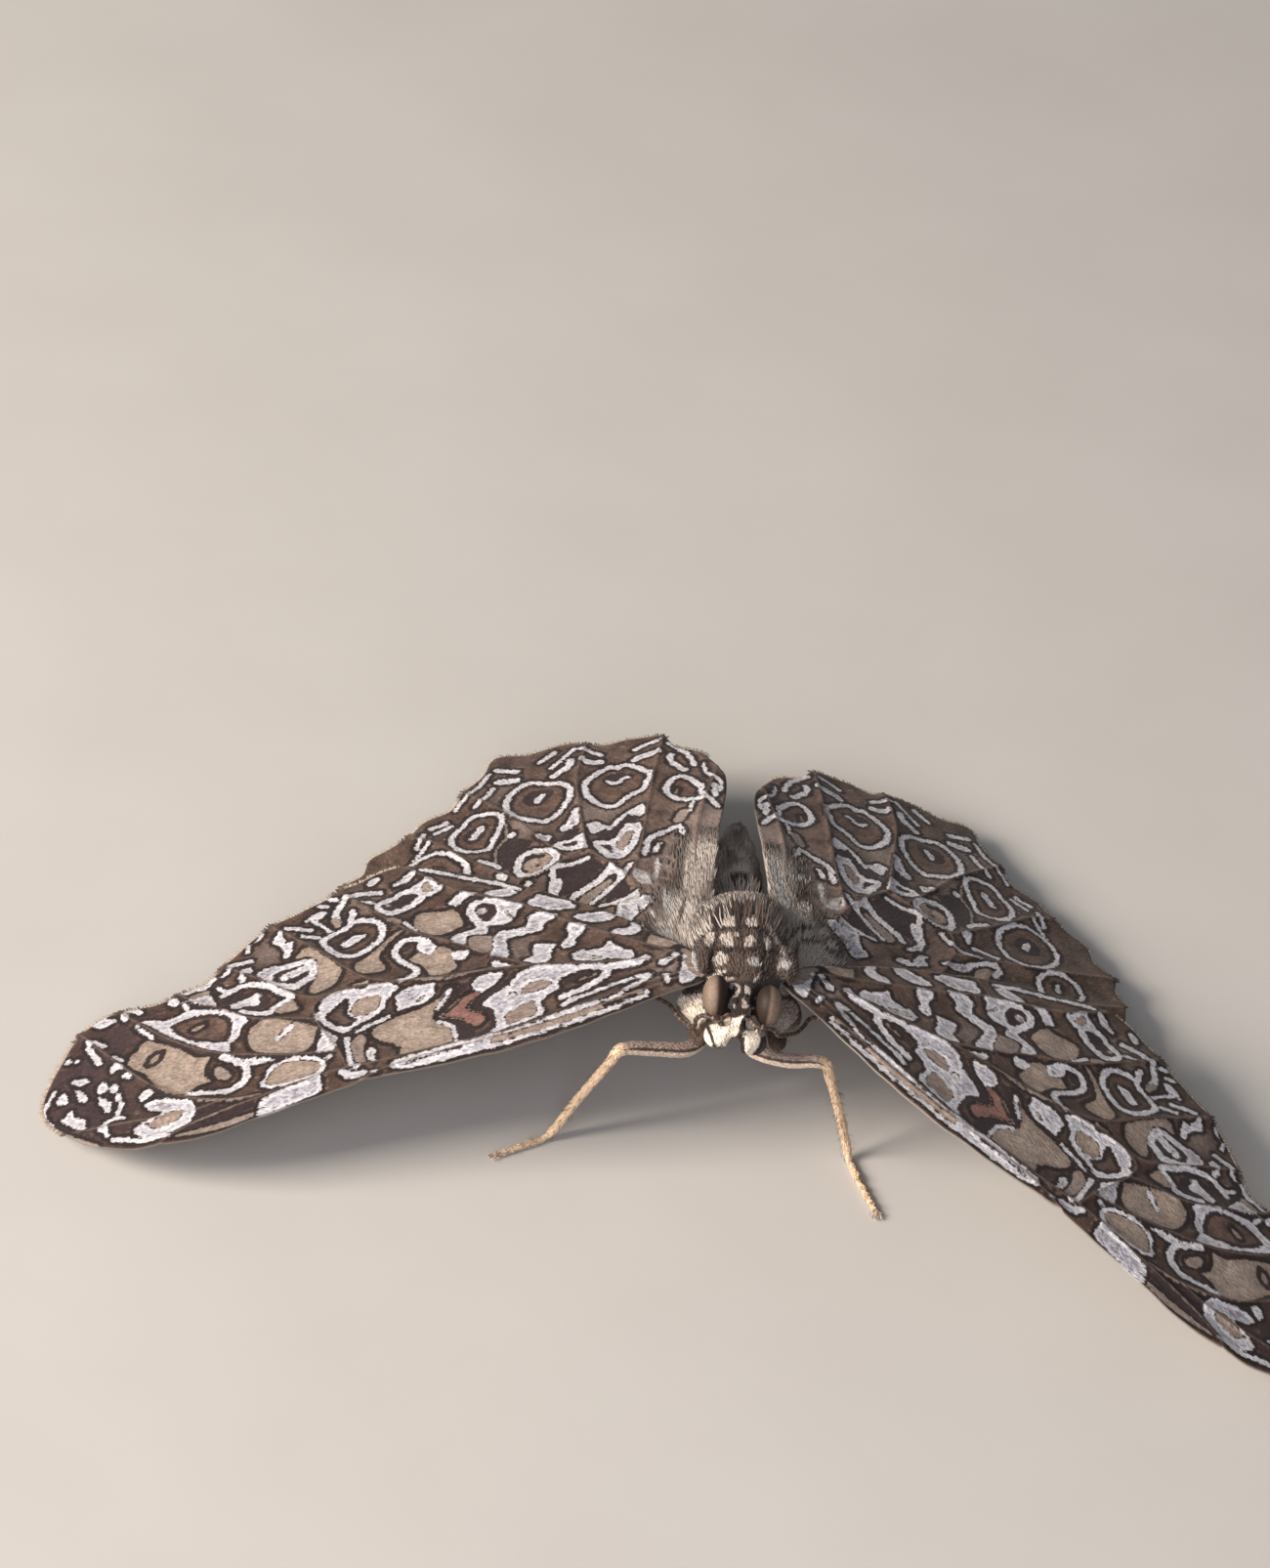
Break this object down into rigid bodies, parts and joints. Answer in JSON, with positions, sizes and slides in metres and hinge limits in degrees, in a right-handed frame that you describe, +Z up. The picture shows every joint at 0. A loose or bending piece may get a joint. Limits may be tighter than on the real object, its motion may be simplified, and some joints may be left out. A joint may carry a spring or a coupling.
{
  "type": "variable cracker butterfly",
  "caption": "Life-size grey-brown cracker butterfly resting head down with its patterned wings spread flat.",
  "frame": {"origin": "middle of the model's bounding box at the floor, z = 0", "axes": "+Z up, -Y the way the head points, +X towards the animal's own left wings"},
  "size_m": [0.0758, 0.0474, 0.0122],
  "materials": {
    "wing_scales": "matt patterned scales in taupe, dark brown, tan and lilac white",
    "body_hair": "matt grey-brown hair",
    "face_scales": "matt cream and dark brown scales",
    "eye_surface": "satin brown facets",
    "cuticle": "pale tan scaled shell"
  },
  "bodies": {
    "root": {"thorax": "body_hair", "abdomen": "body_hair", "head": "face_scales", "eye_left": "eye_surface", "eye_right": "eye_surface", "palp_left": "face_scales", "palp_right": "face_scales", "antenna_left": "cuticle", "antenna_right": "cuticle", "forewing_left": "wing_scales", "forewing_right": "wing_scales", "hindwing_left": "wing_scales", "hindwing_right": "wing_scales", "foreleg_left": "cuticle", "foreleg_right": "cuticle", "midleg_left": "cuticle", "midleg_right": "cuticle", "hindleg_left": "cuticle", "hindleg_right": "cuticle"}
  },
  "joints": []
}
